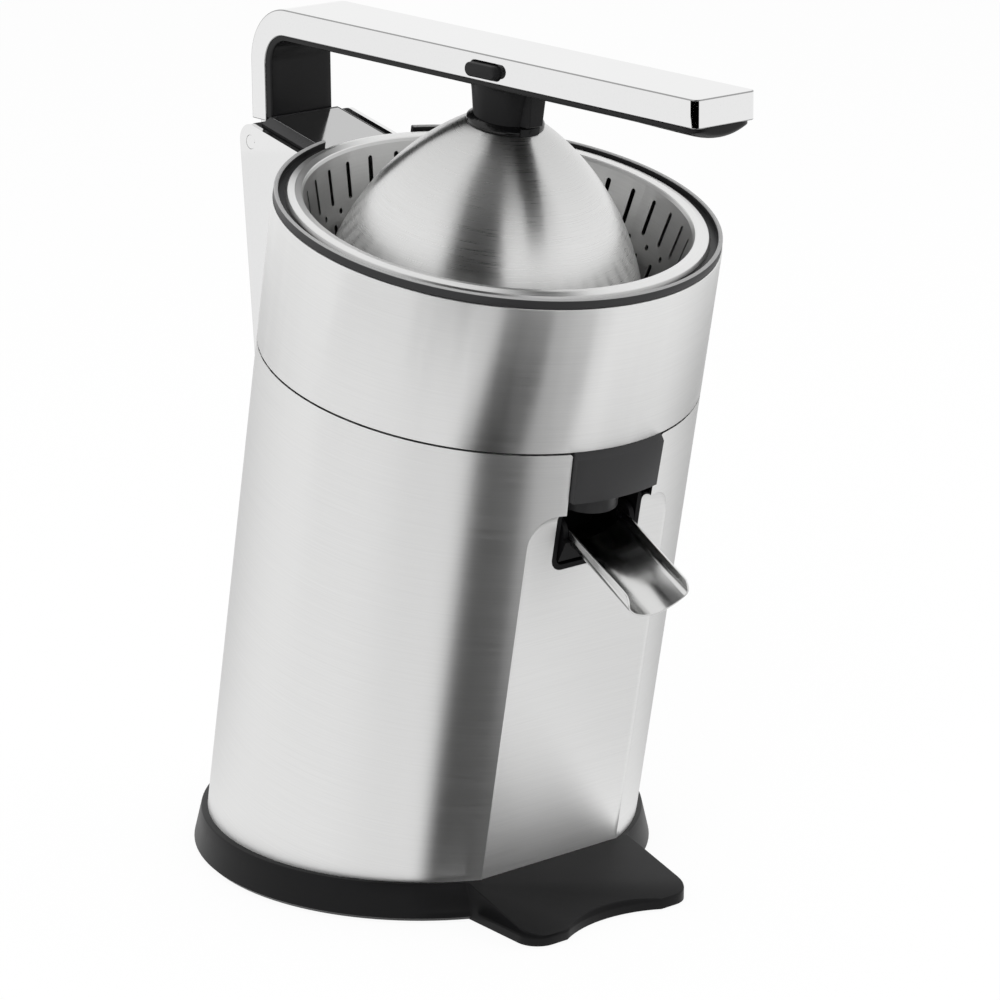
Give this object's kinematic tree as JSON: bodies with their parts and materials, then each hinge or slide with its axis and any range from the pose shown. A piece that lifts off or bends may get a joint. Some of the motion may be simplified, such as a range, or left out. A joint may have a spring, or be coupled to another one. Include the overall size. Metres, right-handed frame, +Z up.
{
  "type": "citrus press",
  "caption": "Electric lever citrus press: leaning brushed-steel body on a black base, lift-off bowl with slotted sieve, press dome on a hinged chromed lever, folding steel spout.",
  "frame": {"origin": "where the leaning body axis meets the surface that the press stands on", "axes": "+Z up, -Y towards the front with the spout, +X to the right seen from the front's opposite side"},
  "size_m": [0.1882, 0.2724, 0.3425],
  "materials": {
    "base_plastic": "satin black moulding",
    "recess_plastic": "matt black moulding",
    "bowl_plastic": "satin dark grey moulding",
    "brushed_body": "fine brushing round the body",
    "strainer_steel": "satin with a bright rim",
    "dome_steel": "turned in fine circles",
    "lever_chrome": "polished",
    "lever_plastic": "satin black",
    "cone_plastic": "smooth dark",
    "rubber": "matt",
    "bright_steel": "plain",
    "bush_brass": "plain",
    "gear_plastic": "natural nylon",
    "motor_iron": "plain",
    "plate_metal": "plain"
  },
  "bodies": {
    "housing": {"base_tray": "base_plastic", "bottom_cover": "base_plastic", "foot_ring": "rubber", "bottom_screws": "bright_steel", "cord_gland": "base_plastic", "housing_sleeve": "brushed_body", "motor_deck": "recess_plastic", "tie_rods": "bright_steel", "shaft_bush": "bush_brass", "shaft_seal": "rubber", "gear_plate": "plate_metal", "plate_screws": "bright_steel", "idler_axle": "bright_steel", "motor_stator": "motor_iron", "return_spring": "bright_steel", "spring_stirrup": "bright_steel", "start_switch": "recess_plastic", "spout_bezel": "recess_plastic", "spout_pins": "bright_steel", "bowl_band": "brushed_body", "juice_bowl": "bowl_plastic", "sieve": "strainer_steel", "hinge_tower": "recess_plastic", "left_cheek": "lever_chrome", "right_cheek": "lever_chrome", "hinge_frame": "recess_plastic", "hinge_cover": "lever_chrome", "lever_pin": "lever_chrome", "tower_screws": "bright_steel"},
    "lever": {"lever_arm": "lever_chrome", "lever_bush": "bush_brass", "lever_liner": "lever_plastic", "liner_screws": "bright_steel", "left_button_spring": "bright_steel", "right_button_spring": "bright_steel", "dome_holder": "lever_plastic", "dome_collar": "lever_plastic", "dome_nut": "bright_steel", "press_dome": "dome_steel"},
    "left_release": {"left_button": "lever_plastic"},
    "right_release": {"right_button": "lever_plastic"},
    "spout": {"spout_chute": "dome_steel", "spout_carrier": "recess_plastic"},
    "press_carrier": {"thrust_cup": "gear_plastic"},
    "cone_drive": {"press_cone": "cone_plastic", "drive_shaft": "bright_steel", "output_gear": "gear_plastic"},
    "idler": {"idler_gear": "gear_plastic"},
    "rotor": {"motor_rotor": "motor_iron"}
  },
  "joints": [
    {"name": "lever_hinge", "type": "hinge", "parent": "housing", "child": "lever", "pos_m": [0, 0.0757, 0.2835], "axis": [-1, 0, 0], "range_deg": [0, 85]},
    {"name": "left_release_slide", "type": "slide", "parent": "lever", "child": "left_release", "axis": [1, 0, 0], "range_m": [0, 0.002], "stiffness_N_per_m": 800, "springref_m": -0.001, "deforming": ["left_button_spring"]},
    {"name": "right_release_slide", "type": "slide", "parent": "lever", "child": "right_release", "axis": [-1, 0, 0], "range_m": [0, 0.002], "stiffness_N_per_m": 800, "springref_m": -0.001, "deforming": ["right_button_spring"]},
    {"name": "spout_hinge", "type": "hinge", "parent": "housing", "child": "spout", "pos_m": [0, -0.10723, 0.16288], "axis": [-1, 0, 0], "range_deg": [0, 50]},
    {"name": "press_travel", "type": "slide", "parent": "housing", "child": "press_carrier", "axis": [0, 0.1836, -0.983], "range_m": [0, 0.002], "stiffness_N_per_m": 3000, "springref_m": -0.002, "deforming": ["return_spring"]},
    {"name": "cone_spin", "type": "hinge", "parent": "press_carrier", "child": "cone_drive", "pos_m": [0, -0.0426, 0.22806], "axis": [0, -0.1836, 0.983], "continuous": true},
    {"name": "idler_spin", "type": "hinge", "parent": "housing", "child": "idler", "pos_m": [0, 0.00345, 0.19393], "axis": [0, -0.1836, 0.983], "continuous": true},
    {"name": "rotor_spin", "type": "hinge", "parent": "housing", "child": "rotor", "pos_m": [0.03, 0.0108, 0.15461], "axis": [0, -0.1836, 0.983], "continuous": true}
  ],
  "couplings": [
    {"joint": "idler_spin", "follows": "cone_spin", "ratio": -3.3333},
    {"joint": "rotor_spin", "follows": "cone_spin", "ratio": 13.333}
  ]
}
